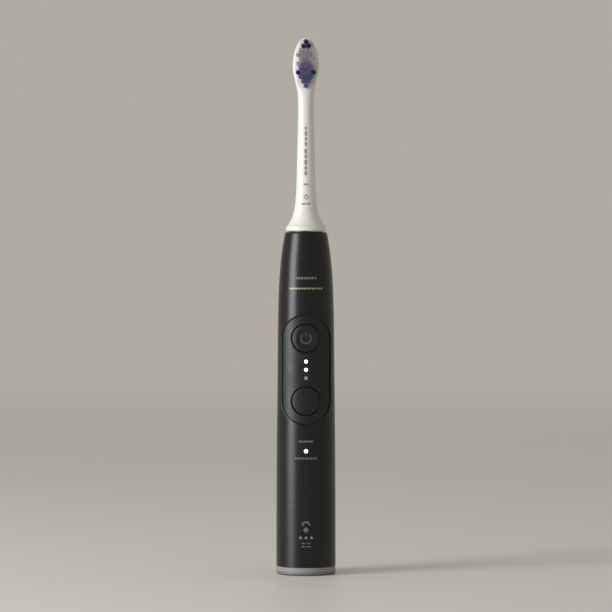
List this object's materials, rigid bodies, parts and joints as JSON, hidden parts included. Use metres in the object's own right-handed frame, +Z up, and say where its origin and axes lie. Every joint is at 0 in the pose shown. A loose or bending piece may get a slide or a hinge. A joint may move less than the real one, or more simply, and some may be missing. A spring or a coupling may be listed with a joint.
{
  "type": "electric toothbrush",
  "caption": "Slim round black rechargeable sonic toothbrush that stands on its foot, with front buttons, lights and a white push-on brush head.",
  "frame": {"origin": "centre of the foot, on the surface that it stands on", "axes": "+Z up the handle to the brush head, -Y the front with the buttons, lights and bristles, +X to the right seen from the front"},
  "size_m": [0.0282, 0.0282, 0.254],
  "materials": {
    "black_satin": "near-black satin, slightly soft to the touch",
    "black_pad": "soft-touch satin black",
    "frosted_grey": "frosted pale grey",
    "black_plastic": "plain black moulding",
    "white_plastic": "soft gloss off-white",
    "clear_guide": "clear light guide",
    "white_bristle": "nylon filaments, white",
    "violet_bristle": "nylon filaments, violet",
    "navy_bristle": "nylon filaments, navy",
    "blue_bristle": "nylon filaments, blue",
    "chassis_grey": "glass-filled grey moulding",
    "board_green": "solder mask over glass fibre",
    "chip_black": "moulded package",
    "steel": "bright stainless steel",
    "nickel": "nickel strip",
    "lamination": "laminated electrical steel",
    "magnet": "nickel-plated magnet",
    "copper": "enamelled copper winding",
    "bronze": "sintered bronze",
    "rubber_black": "black silicone rubber",
    "foam": "grey foam pad",
    "cell_wrap": "shrink sleeve over the cell can"
  },
  "bodies": {
    "handle": {"handle_shell": "black_satin", "button_pad": "black_pad", "foot_ring": "frosted_grey", "charging_socket": "black_plastic", "end_cap": "black_plastic", "end_seal": "rubber_black", "charging_coil_former": "chassis_grey", "charging_coil": "copper", "chassis": "chassis_grey", "battery_cell": "cell_wrap", "battery_pads": "foam", "battery_tabs": "nickel", "circuit_board": "board_green", "board_screws": "steel", "board_leds": "clear_guide", "board_chips": "chip_black", "power_dome": "steel", "mode_dome": "steel", "intensity_light_guide": "clear_guide", "mode_light_guide": "clear_guide", "battery_light_guide": "clear_guide", "motor_frame": "chassis_grey", "rear_bearing": "bronze", "front_bearing": "bronze", "stator_core": "lamination", "drive_coil_former": "black_plastic", "drive_coil": "copper", "spring_mount": "steel", "damping_ring": "rubber_black", "shaft_seal": "rubber_black"},
    "power_button": {"power_button": "black_pad"},
    "mode_button": {"mode_button": "black_pad"},
    "drive": {"drive_shaft": "steel", "counterweight": "bronze", "rotor_hub": "lamination", "rotor_magnets": "magnet", "torsion_springs": "steel"},
    "brush_head": {"collar_ring": "white_plastic", "coupling_sleeve": "white_plastic", "retaining_clip": "steel", "neck_shell": "white_plastic", "tuft_plate": "white_plastic", "white_tufts": "white_bristle", "violet_tufts": "violet_bristle", "navy_tufts": "navy_bristle", "blue_tufts": "blue_bristle"}
  },
  "joints": [
    {"name": "power_press", "type": "slide", "parent": "handle", "child": "power_button", "axis": [0, 1, 0], "range_m": [0, 0.0005], "stiffness_N_per_m": 800, "deforming": ["power_dome"]},
    {"name": "mode_press", "type": "slide", "parent": "handle", "child": "mode_button", "axis": [0, 1, 0], "range_m": [0, 0.0005], "stiffness_N_per_m": 800, "deforming": ["mode_dome"]},
    {"name": "drive_swing", "type": "hinge", "parent": "handle", "child": "drive", "pos_m": [0, 0, 0.1], "axis": [0, 0, 1], "range_deg": [-6, 6], "stiffness_Nm_per_rad": 0.02, "deforming": ["torsion_springs"]},
    {"name": "head_pull_off", "type": "slide", "parent": "drive", "child": "brush_head", "axis": [0, 0, 1], "range_m": [0, 0.03]}
  ]
}
